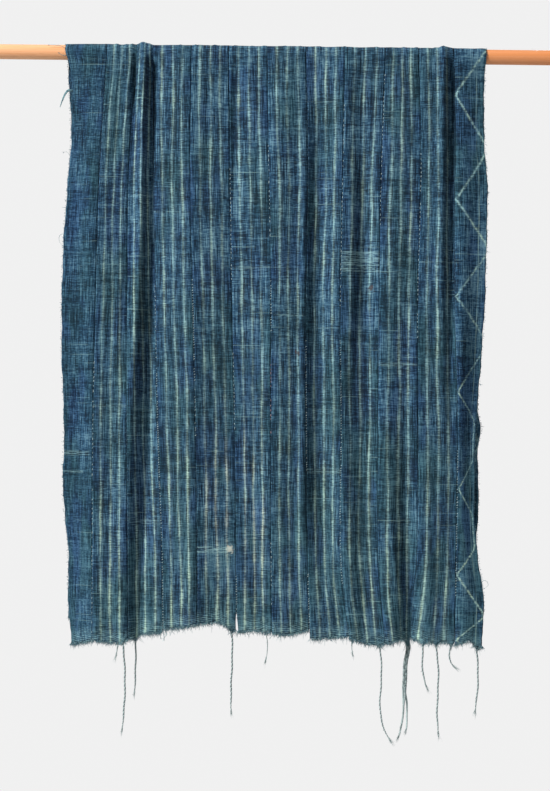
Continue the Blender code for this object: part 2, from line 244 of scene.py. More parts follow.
# Lengthwise turns of the front half whose two sides differ: steep away from the light, easy towards it
TURNS_OF_CLOTH = (
    # x at the top, x at the foot, drop at the top, drop at the foot, reach left, reach right, height
    (-213, -217, -120, 900, 5, 20, -10.0),
    (52, 53, 20, 940, 7, 15, 5.0),
    (84, 86, 40, 960, 14, 16, -3.0),
    (-203, -202, 15, 330, 9, 14, 3.0),
    (-78, -76, 5, 260, 5, 12, 3.5),
    (-66, -64, 5, 260, 8, 10, -3.0),
    (131, 133, 150, 520, 7, 13, 4.0),
    (152, 154, 150, 520, 11, 12, -3.0),
    (100, 104, 830, 1000, 6, 12, 4.0),
    (-10, -4, 260, 990, 8, 14, 2.5),
    (-138, -132, 400, 990, 8, 14, 2.5),
    (186, 184, 300, 990, 7, 14, 3.0),
    (240, 242, 380, 960, 6, 14, 3.0),
    (-262, -256, 300, 1000, 8, 12, 3.0),
    (-312, -306, 60, 1000, 10, 16, 2.5),
)

# Zigzag line of the last strip. Down the back half it goes on in even steps.
ZIGZAG = (
    # drop, share of the strip's width
    (-14, 1.05),
    (66, 0.03),
    (156, 1.1),
    (243, 0.03),
    (328, 1.1),
    (407, 0.03),
    (489, 1.2),
    (569, 0.03),
    (651, 1.45),
    (733, 0.06),
    (805, 1.4),
    (877, 0.02),
    (948, 1.04),
    (988, 0.02),
    (1030, 1.2),
)
ZIGZAG_STEP = 86
ZIGZAG_BACK_TURNS = 13
ZIGZAG_SIDES = (1.05, 0.03)
ZIGZAG_CAP = (
    # drop, largest share of the strip's width
    (570, 1.5),
    (610, 0.87),
    (870, 0.87),
    (900, 1.5),
)

# Hand sewing that shows along the seams of the front half
SEWING = (
    # seam, from drop, to drop, style, thread
    (1, 40, 240, "run", "dark"),
    (1, 520, 960, "run", "pale"),
    (2, 600, 980, "run", "dark"),
    (3, 120, 330, "run", "dark"),
    (3, 380, 520, "run", "pale"),
    (3, 530, 985, "whip", "pale"),
    (4, 380, 650, "whip", "pale"),
    (4, 700, 940, "run", "dark"),
    (5, 190, 380, "run", "pale"),
    (5, 500, 640, "run", "pale"),
    (5, 880, 945, "whip", "pale"),
    (6, 150, 320, "run", "pale"),
    (6, 380, 470, "whip", "pale"),
    (6, 520, 640, "run", "pink"),
    (6, 820, 930, "run", "pale"),
    (7, 60, 300, "run", "dark"),
    (7, 480, 700, "whip", "pale"),
    (7, 870, 960, "whip", "pale"),
    (8, 80, 420, "run", "pale"),
    (8, 480, 880, "whip", "pale"),
    (9, 20, 300, "run", "pale"),
    (9, 360, 620, "run", "dark"),
    (10, 160, 480, "run", "pale"),
    (10, 620, 900, "run", "dark"),
    (11, 300, 600, "run", "dark"),
    (11, 660, 900, "whip", "pale"),
)
RUN_PITCH = 7.5
RUN_LENGTH = 4.0
WHIP_PITCH = 4.2
WHIP_LENGTH = 2.6
STITCH_RADIUS = 0.4
STITCH_PROFILE = np.array([0.45, 0.9, 1.0, 0.9, 0.45])
STITCH_LIFT, STITCH_DIP = 0.25, 0.45
SKIPPED_STITCHES = 0.14
BACK_SEWING_LENGTHS = (260, 300, 240)

# Hairs: broken fibres of the hems, the sides and the loose ends
HAIR_RADIUS = 0.38 * MM
HAIR_TAPER = np.array([1.0, 0.9, 0.7, 0.3])
HAIR_BEND = 1.1
HAIR_SHORTEST = 0.45
HAIR_TONES = 0.2
HEM_HAIRS = 340
HEM_HAIR_SHORT, HEM_HAIR_MEAN, HEM_HAIR_LONG = 6.0, 2.6, 15.0
SIDE_HAIRS = 900
SIDE_HAIR_SHORT, SIDE_HAIR_MEAN, SIDE_HAIR_LONG = 1.4, 1.0, 6.0
STRAY_HAIR = 3.5
ROOT_HAIR, ROOT_HAIRS = 7, 8
TIP_STEPS, TIP_HAIRS = 6, 34
TIP_SPREAD = 0.16
TIP_SHORT, TIP_LONG = 8, 19

# Seeds of the random draws
STRIP_SEED, ENDS_SEED = 100, 300
HEM_SEEDS = {True: 41, False: 43}
SIDE_SEED = 47
SEWING_SEEDS = {"pale": 53, "pink": 54, "dark": 55, "back": 56}

# Loose warp ends that hang from the front hem
THREADS = (
    # strip, x at the root, width, length, lean, bow, wave, hook at the tip
    ("02", -254, 2.6, 29, -4, 0, 0, 0),
    ("02", -245, 3.4, 152, 0, 4, 0, -1),
    ("03", -225, 3.2, 98, -1, 1, 0, 0),
    ("05", -62, 3.4, 142, 1, 0, 1, 0),
    ("06", -5, 1.8, 52, 0, 4, 0, -1),
    ("09", 140, 1.8, 29, 3, 0, 0, 0),
    ("09", 188, 3.0, 166, -3, 2, 3, 27),
    ("11", 261, 3.2, 80, 0, -1, 0, 11),
    ("11", 283, 3.2, 158, 4, 2, 2, 3),
    ("11", 309, 3.0, 46, -3, -2, 0, 20),
    ("12", 352, 3.2, 115, -2, 4, 0, 0),
)
BRAID_ROOT = ("10", 238, 8.4, 68, -6, -2, 0, 0)
BRAID_TAILS = (
    # length, lean, bow, hook
    (76, -3, 0, -2),
    (94, -4, 3, -6),
    (82, 1, 3, -2),
)
YARN_TURN = 7.0
PLIES = 2
# Painted shade of the twist: how much paler one ply is than the other, and how much darker each ply's back
# is
PLY_SHADE_CONTRAST = 0.82
PLY_OFFSET, PLY_RADIUS = 0.2, 0.32
PLY_SHADE = 0.25
PALER_TO_END = 0.3
PLAIT_LENGTH = 13.0
PLAIT_SIDE, PLAIT_DEEP, PLAIT_RADIUS = 0.3, 0.2, 0.21
TAIL_SPREAD, TAIL_SLIM = 3, 0.72
ROUTE_STEP = 1.6
ROOT_TRIM = 1.5
SWAYS = (
    # size, length of a radian, how soon it sets in
    (0.45, 7, 6),
    (0.8, 16, 4),
)

# Wisps at the side edges, the top and the hem, as steps from where they leave the cloth
WISPS = (
    # x, drop, steps of sideways, down and forward, width
    (-342, 66, ((-7, 0, 2), (-5, 7, 2), (-4, 10, 1), (-3, 9, 0)), 3.2),
    (-342, 67, ((-7, 1, 3), (-5, 7, 2), (-3, 8, 1)), 2.6),
    (-345, 178, ((-3, -6, 1), (-4, -2, 1), (-3, 1, 1)), 0.7),
    (-350, 312, ((-6, -3, 1), (-5, 4, 1), (0, 9, 0), (5, 6, 0)), 0.7),
    (-353, 6, ((-4, 2, 3), (-5, -1, 2), (-3, -2, 1)), 1.2),
    (-354, -6, ((-10, -3, 1), (-10, -1, 0), (-8, 0, 0)), 0.9),
    (364, 890, ((3, -3, 1), (5, 2, 1), (2, 6, 0), (-6, 5, 0)), 0.7),
    (-179, 972, ((-2, 6, 2), (-2, 6, 1), (1, 5, 0)), 1.3),
    (-176, 972, ((2, 6, 2), (2, 6, 1), (-3, 4, 0)), 1.3),
    (-177, 974, ((0, 9, 2), (1, 8, 1)), 1.2),
    (7, 962, ((3, 5, 2), (2, 7, 1), (-2, 9, 0)), 1.2),
    (9, 968, ((1, 6, 2), (-2, 6, 1), (-4, 6, 0)), 0.9),
)


def smoothstep(value):
    value = np.clip(value, 0.0, 1.0)
    return value * value * (3 - 2 * value)


def curve(places, values, at):
    """A smooth line through the values, level with the first and last of them outside their places."""
    places, values = np.asarray(places, float), np.asarray(values, float)
    at = np.clip(at, places[0], places[-1])
    i = np.clip(np.searchsorted(places, at, side="right") - 1, 0, len(places) - 2)
    order = np.arange(len(places))
    low, high = np.maximum(order - 1, 0), np.minimum(order + 1, order[-1])
    slopes = (values[high] - values[low]) / (places[high] - places[low])
    span = places[i + 1] - places[i]
    t = (at - places[i]) / span
    return (
        (2 * t**3 - 3 * t**2 + 1) * values[i]
        + (t**3 - 2 * t**2 + t) * span * slopes[i]
        + (3 * t**2 - 2 * t**3) * values[i + 1]
        + (t**3 - t**2) * span * slopes[i + 1]
    )


# Every quantity that changes with the drop is worked out once at these drops, and read between them
DROP_STEP = 2.0
DROPS = np.arange(0, 1030, DROP_STEP)


def read(table, drop, row=None):
    """The table's values at these drops; with row, each point reads its own row."""
    spot = np.clip(drop / DROP_STEP, 0, len(DROPS) - 1.001)
    low = spot.astype(int)
    t = spot - low
    if row is None:
        return table[low] * (1 - t) + table[low + 1] * t
    return table[row, low] * (1 - t) + table[row, low + 1] * t


def edges_at_drops(edges):
    drops = [row[0] for row in edges]
    return curve(drops, [row[1] for row in edges], DROPS), curve(drops, [row[2] for row in edges], DROPS)


def seams_at_drops(front):
    """x of the two edges and of every seam between them, a row for each."""
    left, right = edges_at_drops(FRONT_EDGES if front else BACK_EDGES)
    rows = [left]
    for number, (_, seams, _, _) in enumerate(STRIPS[:-1], start=1):
        if front:
            rows.append(curve(SEAM_DROPS, seams, DROPS))
        else:
            share = smoothstep(DROPS / BACK_STRAIGHT_DROP)
            rows.append(seams[0] * (1 - share) + (left + (right - left) * number / len(STRIPS)) * share)
    return np.stack([*rows, right])


SEAMS = {front: seams_at_drops(front) for front in (True, False)}
FOLDS = {
    front: [[curve(FOLD_DROPS, values, DROPS) for values in row[1:]] for row in folds]
    for front, folds in ((True, FRONT_FOLDS), (False, BACK_FOLDS))
}
TURNS = {
    front: [(side, reach, curve(FOLD_DROPS, depths[half], DROPS)) for side, reach, *depths in EDGE_TURNS]
    for half, front in enumerate((True, False))
}


def across(place, drop, front):
    """x in millimetres of places counted in strips from the left edge, at these drops."""
    whole = np.clip(np.asarray(place).astype(int), 0, len(STRIPS) - 1)
    low, high = read(SEAMS[front], drop, whole), read(SEAMS[front], drop, whole + 1)
    x = low + (high - low) * (place - whole)
    if not front:
        return x
    pull = GATHER_PULL * smoothstep((drop - GATHER_TOP) / (GATHER_FOOT - GATHER_TOP))
    off = x - GATHER_X
    return x - pull * off * np.exp(-((off / GATHER_REACH) ** 2))


def ridge(x, drop, front, only_ridges=False):
    """How far the folds stand off the hanging plane, in millimetres."""
    total = np.zeros_like(x)
    for places, half_widths, heights in FOLDS[front]:
        height = read(heights, drop)
        if only_ridges:
            height = np.maximum(height, 0.0)
        offset = (x - read(places, drop)) / read(half_widths, drop)
        total += height * np.exp(-offset * offset)
    if only_ridges:
        return total
    for side, reach, depths in TURNS[front]:
        edge = read(SEAMS[front][0 if side == "left" else -1], drop)
        total += read(depths, drop) * smoothstep(1 - np.abs(x - edge) / reach)
    return total


def waves(seed, count, low, high):
    """Directions, lengths and phases of the sine waves that make a soft, uneven surface."""
    draw = np.random.default_rng(seed)
    angles = draw.uniform(0, 2 * math.pi, count)
    lengths = draw.uniform(low, high, count)
    return angles, lengths, draw.uniform(0, 2 * math.pi, count)


BROAD_WAVES = waves(11, 9, 70, 190)
FINE_WAVES = waves(23, 12, 14, 38)


def uneven(kind, x, y):
    angles, lengths, phases = kind
    total = np.zeros_like(x)
    for angle, length, phase in zip(angles, lengths, phases):
        total += np.sin(2 * math.pi * (x * math.cos(angle) + 0.45 * y * math.sin(angle)) / length + phase)
    return total / math.sqrt(len(angles))


def relief(place, x, drop, front):
    """Small creases, puckers along the seams and unevenness, in millimetres, away from the rod."""
    half = 1 if front else -1
    total = RUFFLE * uneven(BROAD_WAVES, x + 40 * half, drop)
    total += FINE_RUFFLE * uneven(FINE_WAVES, x, drop * half)
    to_seam = np.abs(place - np.round(place)) * FLAT_STRIP_WIDTH / MM
    inner = (np.round(place) > 0) & (np.round(place) < len(STRIPS))
    seam = np.exp(-((to_seam / PUCKER_REACH) ** 2)) * inner
    swing = PUCKER_SWING * np.sin(2 * math.pi * drop / PUCKER_PITCH + 1.7 * np.round(place))
    total -= seam * (PUCKER_DEPTH + swing)
    if front:
        for table, ends in ((CREASES, CREASE_FADE), (TURNS_OF_CLOTH, TURN_FADE)):
            for x_top, x_foot, top, foot, *reach, height in table:
                t = (drop - top) / (foot - top)
                fade = smoothstep(t / ends) * smoothstep((1 - t) / ends)
                offset = x - x_top - (x_foot - x_top) * t
                offset = offset / np.where(offset < 0, reach[0], reach[-1])
                total += height * fade * np.exp(-offset * offset)
    return total


def rod_ridges(x):
    total = np.maximum(ROD_RUFFLE + ROD_RUFFLE * uneven(FINE_WAVES, x, np.zeros_like(x)), 0)
    for place, half_width, height in ROD_RIDGES:
        total += height * np.exp(-(((x - place) / half_width) ** 2))
    return total


def half_drape(place, drop, front):
    """x in millimetres and how far the cloth's middle stands out from the rod's middle plane, in metres."""
    shaped = np.minimum(drop, FRONT_STRAIGHT_DROP if front else BACK_STRAIGHT_DROP)
    x = across(place, shaped, front)
    share = smoothstep(drop / RIDGE_FULL_DROP)
    out = (ridge(x, shaped, front) + relief(place, x, drop, front)) * share
    near = share < 1
    top = x[near]
    on_rod = RIDGE_SHARE_ON_ROD * ridge(top, np.zeros_like(top), front, only_ridges=True) + rod_ridges(top)
    out[near] += on_rod * (1 - share[near])
    clear_of_rod = np.sqrt(np.maximum((BEND_RADIUS / MM) ** 2 - drop**2, 0)) - BEND_RADIUS / MM
    return x, BEND_RADIUS + np.maximum(out, clear_of_rod) * MM


def drape(place, along):
    """The cloth's middle at places across, at lengths along it from the top of the rod.

    Lengths are negative down the front half and positive down the back half.
    """
    drop = (np.abs(along) - BEND_LENGTH / 2) / MM
    turn = (np.clip(along / BEND_LENGTH, -0.5, 0.5) + 0.5) * math.pi
    points = np.empty((len(along), 3))
    for front, part in ((True, (along < 0) & (drop > 0)), (False, (along >= 0) & (drop > 0))):
        x, out = half_drape(place[part], drop[part], front)
        points[part] = np.stack([x * MM, -out if front else out, -drop[part] * MM], axis=-1)
    bend = drop <= 0
    if bend.any():
        level = np.zeros(bend.sum())
        x_front, out_front = half_drape(place[bend], level, True)
        x_back, out_back = half_drape(place[bend], level, False)
        turned = turn[bend]
        share = turned / math.pi
        radius = out_front * (1 - share) + out_back * share
        x = (x_front * (1 - share) + x_back * share) * MM
        points[bend] = np.stack([x, -radius * np.cos(turned), radius * np.sin(turned)], axis=-1)
    return points


def unit(vectors):
    return vectors / np.maximum(np.linalg.norm(vectors, axis=-1, keepdims=True), 1e-12)


def drape_frame(place, along):
    """The cloth's middle, its direction across, its direction along and its outward normal."""
    reach, step = 0.02, 1.0 * MM
    low, high = np.clip(place - reach, 0, len(STRIPS)), np.clip(place + reach, 0, len(STRIPS))
    sideways = unit(drape(high, along) - drape(low, along))
    lengthways = unit(drape(place, along + step) - drape(place, along - step))
    return drape(place, along), sideways, lengthways, unit(np.cross(sideways, lengthways))


def front_hem(index, u):
    """The front hem's drop at shares of the strip's width: it is drawn down to a point at each loose end."""
    drop = np.interp(u, (0, 0.5, 1), STRIPS[index][2])
    x = across(index + u, drop, True)
    for name, place, width, *_ in (*THREADS, BRAID_ROOT):
        if name == STRIPS[index][0]:
            drop = drop + HEM_POINT * width * np.exp(-(((x - place) / HEM_POINT_REACH) ** 2))
    return drop


def placed(name, data):
    """A new object in the scene."""
    thing = bpy.data.objects.new(name, data)
    bpy.context.scene.collection.objects.link(thing)
    return thing


def mesh_object(name, verts, faces, finish, uv=None, floats=None):
    """An object from arrays of points and of three or four corners a face."""
    mesh = bpy.data.meshes.new(name)
    mesh.vertices.add(len(verts))
    mesh.vertices.foreach_set("co", np.asarray(verts, np.float32).ravel())
    sizes = np.concatenate([np.full(len(f), f.shape[1]) for f in faces])
    corners = np.concatenate([f.ravel() for f in faces]).astype(np.int32)
    mesh.loops.add(len(corners))
    mesh.loops.foreach_set("vertex_index", corners)
    mesh.polygons.add(len(sizes))
    starts = np.concatenate([[0], np.cumsum(sizes)[:-1]])
    mesh.polygons.foreach_set("loop_start", starts.astype(np.int32))
    mesh.polygons.foreach_set("use_smooth", np.ones(len(sizes), bool))
    if uv is not None:
        layer = mesh.uv_layers.new(name="cloth")
        layer.data.foreach_set("uv", np.asarray(uv, np.float32)[corners].ravel())
    for key, values in (floats or {}).items():
        mesh.attributes.new(key, "FLOAT", "POINT").data.foreach_set("value", np.asarray(values, np.float32))
    mesh.update(calc_edges=True)
    mesh.validate()
    mesh.materials.append(finish)
    return placed(name, mesh)


def ring_faces(rings, sides, start):
    """Quads between rings of points, and triangles to the two end points that follow the rings."""
    ids = np.arange(rings * sides).reshape(rings, sides) + start
    nxt = np.roll(ids, -1, axis=1)
    low = start + rings * sides
    first = np.stack([nxt[0], ids[0], np.full(sides, low)], -1)
    last = np.stack([ids[-1], nxt[-1], np.full(sides, low + 1)], -1)
    return np.stack([ids[:-1], nxt[:-1], nxt[1:], ids[1:]], -1).reshape(-1, 4), np.concatenate([first, last])


def zigzag_place(drop):
    """The share of the last strip's width at which the zigzag lies, at these drops."""
    top = ZIGZAG[0][0]
    back = [(top - ZIGZAG_STEP * n, ZIGZAG_SIDES[n % 2]) for n in range(ZIGZAG_BACK_TURNS, 0, -1)]
    drops, shares = zip(*back, *ZIGZAG)
    cap_drops, caps = zip(*ZIGZAG_CAP)
    return np.minimum(np.interp(drop, drops, shares), np.interp(drop, cap_drops, caps))


def cloth_strip(index, finish):
    """One woven strip as a closed thin sheet from the front hem over the rod to the back hem."""
    name, _, _, back_hem = STRIPS[index]
    draw = np.random.default_rng(STRIP_SEED + index)
    u = np.linspace(0, 1, COLUMNS + 1)
    half = BEND_LENGTH / 2
    jag = draw.normal(0, JAG_FRONT, COLUMNS + 1) * MM
    front_end = -(half + front_hem(index, u) * MM + jag)
    back_end = half + (back_hem + draw.normal(0, JAG_BACK, COLUMNS + 1)) * MM
    rows = math.ceil((back_end.max() - front_end.min()) / ROW_STEP)
    t = np.linspace(0, 1, rows + 1)[None, :]
    along = front_end[:, None] * (1 - t) + back_end[:, None] * t
    place = np.broadcast_to(index + u[:, None], along.shape)
    flat_place, flat_along = place.ravel(), along.ravel()
    middle, sideways, _, normal = drape_frame(flat_place, flat_along)
    drop = (-flat_along - half) / MM
    share = flat_place - index
    inset = np.where(share == 0, SEAM_GAP / 2, 0) - np.where(share == 1, SEAM_GAP / 2, 0)
    opening = smoothstep((drop - (front_hem(index, 0.5) - OPEN_SEAM_HEIGHT)) / OPEN_SEAM_HEIGHT) ** 2
    opening *= OPEN_SEAM_HALF * MM
    if index + 1 == OPEN_SEAM:
        inset = inset - opening * np.maximum(0, 1 - (1 - share) / OPEN_SEAM_SHARE)
    if index == OPEN_SEAM:
        inset = inset + opening * np.maximum(0, 1 - share / OPEN_SEAM_SHARE)
    to_side = np.minimum(flat_place, len(STRIPS) - flat_place)
    ragged = sum(size * np.sin(flat_along * rate + phase) for rate, phase, size in RAGGED_WAVES)
    inward = np.where(flat_place < len(STRIPS) / 2, 1, -1)
    inset = inset + inward * SIDE_RAGGED * (1 + 0.5 * ragged) * np.maximum(0, 1 - to_side / SIDE_REACH)
    middle = middle + sideways * inset[:, None]
    verts = np.concatenate([middle + normal * SHEET_THICKNESS / 2, middle - normal * SHEET_THICKNESS / 2])
    count = (COLUMNS + 1) * (rows + 1)
    grid = np.arange(count).reshape(COLUMNS + 1, rows + 1)
    a, b, c, d = grid[:-1, :-1], grid[1:, :-1], grid[1:, 1:], grid[:-1, 1:]
    outer = np.stack([a, b, c, d], -1).reshape(-1, 4)
    inner = outer[:, ::-1] + count
    rim = np.concatenate([grid[:, 0], grid[-1, 1:], grid[-2::-1, -1], grid[0, -2:0:-1]])
    after = np.roll(rim, -1)
    walls = np.stack([after, rim, rim + count, after + count], -1)
    uv = np.tile(np.stack([flat_place, flat_along + UV_START], -1), (2, 1))
    to_hem = np.minimum(front_hem(index, share) - drop, back_hem + half / MM * 2 + drop)
    floats = {"to_hem": np.tile(to_hem, 2)}
    if index == len(STRIPS) - 1:
        floats["zigzag"] = np.tile((share - zigzag_place(drop)) * FLAT_STRIP_WIDTH / MM, 2)
    return mesh_object(f"cloth_strip_{name}", verts, [outer, inner, walls], finish, uv=uv, floats=floats)


class Tubes:
    """Collects many small tubes into one mesh."""

    def __init__(self):
        self.verts, self.quads, self.tris, self.tone, self.count = [], [], [], [], 0

    def add(self, points, radii, sides=5, tone=0.5):
        """A tube through the points with pointed or round ends, as the radii say."""
        points = np.asarray(points, float)
        tangents = unit(np.gradient(points, axis=0))
        side = np.cross(tangents[0], (0.3, 0.9, 0.2))
        rings = []
        angles = np.arange(sides) * 2 * math.pi / sides
        for point, tangent, radius in zip(points, tangents, radii):
            side = unit(side - tangent * (side @ tangent))
            other = np.cross(tangent, side)
            ring = np.cos(angles)[:, None] * side + np.sin(angles)[:, None] * other
            rings.append(point + radius * ring)
        ends = (points[:1] - tangents[:1] * radii[0] / 2, points[-1:] + tangents[-1:] * radii[-1] / 2)
        self.verts += [*rings, *ends]
        quads, tris = ring_faces(len(points), sides, self.count)
        self.quads.append(quads)
        self.tris.append(tris)
        levels = np.broadcast_to(tone, len(points))
        self.tone.append(np.concatenate([np.repeat(levels, sides), levels[:1], levels[-1:]]))
        self.count += len(points) * sides + 2

    def build(self, name, finish):
        faces = [np.concatenate(self.quads), np.concatenate(self.tris)]
        tones = {"tone": np.concatenate(self.tone)}
        return mesh_object(name, np.concatenate(self.verts), faces, finish, floats=tones)


def thread_route(root, length, lean, bow, wave, hook, phase):
    """Points down a hanging thread, close enough together for its twist."""
    steps = max(6, round(length / ROUTE_STEP))
    t = np.linspace(0, 1, steps + 1)
    sways = [size * np.sin(t * length / reach + phase) * smoothstep(t * soon) for size, reach, soon in SWAYS]
    side = lean * t + bow * np.sin(math.pi * t) + wave * np.sin(2 * math.pi * t) + hook * t**4 + sways[0]
    return root + np.stack([side, -sways[1], -length * t], -1) * MM


def twist(tubes, route, width, tone):
    """Two-ply yarn: the plies wind round the route, and grow paler towards its end; one ply and the back of
    each ply are painted darker as shade.
    """
    lengths = np.concatenate([[0], np.cumsum(np.linalg.norm(np.diff(route, axis=0), axis=1))])
    tangents = unit(np.gradient(route, axis=0))
    side = unit(np.cross(tangents, np.broadcast_to((0.0, 1.0, 0.0), tangents.shape)))
    other = np.cross(tangents, side)
    end = lengths[-1]
    slim = 0.6 + 0.4 * smoothstep((end - lengths) / (0.012 + 0.1 * end))
    paler = tone + PALER_TO_END * lengths / end
    for ply in range(PLIES):
        angle = 2 * math.pi * (lengths / (YARN_TURN * MM) + ply / PLIES)
        around = np.cos(angle)[:, None] * side + np.sin(angle)[:, None] * other
        points = route + (width * PLY_OFFSET * slim)[:, None] * around
        # Painted shade: one ply darker than the other and each ply darker on its back, for the grooves of
        # the twist.
        tones = paler + PLY_SHADE_CONTRAST * ply - PLY_SHADE * around[:, 1]
        tubes.add(points, width * PLY_RADIUS * slim, sides=6, tone=tones)


def tuft(tubes, root, direction, length, spread, count, draw, tone, thin=1.0):
    """A few hairs that leave one place and part."""
    for _ in range(count):
        way = unit(unit(np.asarray(direction, float)) + draw.normal(0, spread, 3))
        bend = draw.normal(0, HAIR_BEND * spread, 3)
        reach = length * draw.uniform(HAIR_SHORTEST, 1.0)
        t = np.linspace(0, 1, len(HAIR_TAPER))[:, None]
        points = root + (way * t + bend * t * t / 2) * reach
        shade = tone + draw.uniform(-HAIR_TONES, HAIR_TONES)
        tubes.add(points, HAIR_RADIUS * thin * HAIR_TAPER, sides=3, tone=shade)


def stray_hairs(tubes, route, count, draw):
    """Single short hairs that stand off a yarn."""
    for place in draw.integers(3, len(route) - 2, count):
        way = (draw.normal(), draw.normal(), -0.8)
        tuft(tubes, route[place], way, STRAY_HAIR * MM, 0.4, 1, draw, 0.5)


def soft_tip(tubes, route, width, draw):
    """The last stretch of a yarn, where its twist opens into fine pale hairs."""
    end = unit(route[-1] - route[-TIP_STEPS])
    for _ in range(TIP_HAIRS):
        start = len(route) - TIP_STEPS - 1 - draw.integers(0, 4)
        off = draw.normal(0, TIP_SPREAD, 3) * width * MM
        reach = draw.uniform(TIP_SHORT, TIP_LONG) * MM
        tuft(tubes, route[start] + off, end, reach, 0.1, 1, draw, 0.9, thin=0.5)


def hem_root(index, x):
    """The point just inside the front hem of a strip that lies at this x in millimetres."""
    shares = np.linspace(0, 1, 101)
    u = np.interp(x, across(index + shares, front_hem(index, shares), True), shares)
    along = -(BEND_LENGTH / 2 + (front_hem(index, u) - ROOT_TRIM) * MM)
    return drape(np.array([index + u]), np.array([along]))[0]


def plait(tubes, index, draw):
    """Three strands plaited, and the tails that they end in."""
    _, x, width, length, lean, bow, wave, hook = BRAID_ROOT
    length += ROOT_TRIM
    route = thread_route(hem_root(index, x), length, lean, bow, wave, hook, phase=0.4)
    lengths = np.linspace(0, length * MM, len(route))
    for strand, (tail, tail_lean, tail_bow, tail_hook) in enumerate(BRAID_TAILS):
        phase = 2 * math.pi * (lengths / (PLAIT_LENGTH * MM) + strand / len(BRAID_TAILS))
        side = width * MM * PLAIT_SIDE * np.sin(phase)
        deep = width * MM * PLAIT_DEEP * np.sin(2 * phase)
        points = route + np.stack([side, deep, np.zeros_like(side)], -1)
        tail_lean += (strand - 1) * TAIL_SPREAD
        tail_route = thread_route(points[-1], tail, tail_lean, tail_bow, 0, tail_hook, strand * 2.0)
        whole = np.concatenate([points, tail_route[1:]])
        slim = np.ones(len(whole))
        slim[len(points):] = np.linspace(1, TAIL_SLIM, len(tail_route) - 1)
        # Each strand a step paler than the one before: painted shade that sets the strands apart; the tails
        # grow paler towards their ends.
        tone = 0.3 + 0.22 * strand + 0.4 * smoothstep((np.arange(len(whole)) - len(points)) / 12)
        kept = slice(0, -TIP_STEPS)
        tubes.add(whole[kept], width * MM * PLAIT_RADIUS * slim[kept], sides=8, tone=tone[kept])
        soft_tip(tubes, whole, width * 0.42, draw)
        stray_hairs(tubes, whole, 14, draw)


def loose_ends(index, finish):
    """The warp ends that hang from one strip's front hem: twisted threads, or the plait."""
    name = STRIPS[index][0]
    draw = np.random.default_rng(ENDS_SEED + index)
    tubes = Tubes()
    for number, (strip, x, width, length, *shape) in enumerate(THREADS):
        if strip == name:
            root = hem_root(index, x)
            route = thread_route(root, length + ROOT_TRIM, *shape, phase=number * 1.7)
            twist(tubes, route[:-TIP_STEPS], width * MM, 0.0)
            soft_tip(tubes, route, width, draw)
            stray_hairs(tubes, route, 6, draw)
            way = (draw.normal(0, 0.3), 0, -1)
            tuft(tubes, root, way, ROOT_HAIR * MM, 0.45, ROOT_HAIRS, draw, 0.4)
    if name == BRAID_ROOT[0]:
        plait(tubes, index, draw)
    return tubes.build(f"loose_ends_{name}", finish)


def hem_fuzz(front, finish):
    """Short frayed warp ends along one hem."""
    draw = np.random.default_rng(HEM_SEEDS[front])
    tubes = Tubes()
    index = np.repeat(np.arange(len(STRIPS)), HEM_HAIRS if front else HEM_HAIRS // 2)
    u = draw.uniform(0.01, 0.99, len(index))
    if front:
        drop = np.concatenate([front_hem(i, u[index == i]) for i in range(len(STRIPS))])
    else:
        drop = np.array([STRIPS[i][3] for i in index], float)
    along = BEND_LENGTH / 2 + (drop - draw.uniform(0.5, 2.5, len(index))) * MM
    roots = drape(index + u, -along if front else along)
    lengths = HEM_HAIR_SHORT + draw.exponential(HEM_HAIR_MEAN, len(index))
    for root, length in zip(roots, np.minimum(HEM_HAIR_LONG, lengths) * MM):
        way = (draw.normal(0, 0.45), draw.normal(0, 0.25), -1)
        tone = draw.uniform(0.15, 1.1)
        tuft(tubes, root, way, length, 0.3, 1, draw, tone)
    return tubes.build("hem_fuzz_front" if front else "hem_fuzz_back", finish)


def side_fuzz(finish):
    """Fine broken threads along both side edges, and the longer wisps."""
    draw = np.random.default_rng(SIDE_SEED)
    tubes = Tubes()
    for side, away in ((0, -1), (len(STRIPS), 1)):
        along = draw.uniform(-0.98, 0.93, SIDE_HAIRS)
        roots = drape(np.full(SIDE_HAIRS, float(side)), along) - np.array([away * 0.5 * MM, 0, 0])
        lengths = SIDE_HAIR_SHORT + draw.exponential(SIDE_HAIR_MEAN, SIDE_HAIRS)
        for root, length in zip(roots, np.minimum(SIDE_HAIR_LONG, lengths) * MM):
            way = (away, draw.normal(0, 0.5), draw.normal(0, 0.9))
            tuft(tubes, root, way, length, 0.2, 1, draw, 0.55)
    for x, drop, steps, width in WISPS:
        seams = SEAMS[True][:, int(max(drop, 0) / DROP_STEP)]
        place = float(np.clip(np.interp(x, seams, np.arange(len(STRIPS) + 1)), 0.02, len(STRIPS) - 0.02))
        along = -(BEND_LENGTH / 2 + max(drop, -0.4 * BEND_LENGTH / MM) * MM)
        root = drape(np.array([place]), np.array([along]))[0]
        corners = [root] + [root + np.array([s, -f, -d]) * MM for s, d, f in np.cumsum(steps, axis=0)]
        knots = np.arange(len(corners))
        t = np.linspace(0, knots[-1], 28)
        route = np.stack([curve(knots, [c[axis] for c in corners], t) for axis in range(3)], -1)
        twist(tubes, route, width * MM, 0.3)
        tuft(tubes, route[-1], unit(route[-1] - route[-3]), 4 * MM, 0.3, 3, draw, 0.4)
    return tubes.build("side_fuzz", finish)


